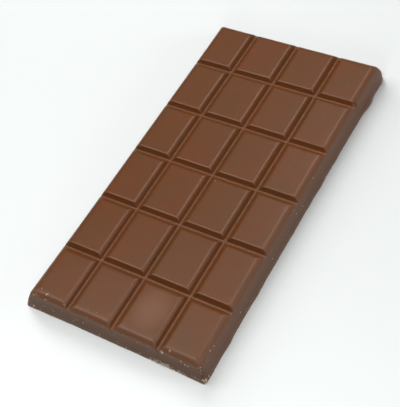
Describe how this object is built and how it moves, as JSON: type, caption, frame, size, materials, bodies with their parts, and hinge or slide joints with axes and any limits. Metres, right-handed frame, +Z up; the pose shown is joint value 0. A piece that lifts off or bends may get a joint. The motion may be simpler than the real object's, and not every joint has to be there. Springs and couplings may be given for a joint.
{
  "type": "chocolate bar",
  "caption": "Flat milk chocolate bar with sloping outer walls, its top parted into rectangular pieces by shallow snap grooves.",
  "frame": {"origin": "middle of the flat back, on the plane that the bar rests on", "axes": "+Y along the bar's length, +X across it, +Z up out of the grooved top"},
  "size_m": [0.0788, 0.1556, 0.0075],
  "materials": {
    "milk_chocolate": "smooth milk chocolate with a soft satin gloss"
  },
  "bodies": {
    "root": {"chocolate_bar": "milk_chocolate"}
  },
  "joints": []
}
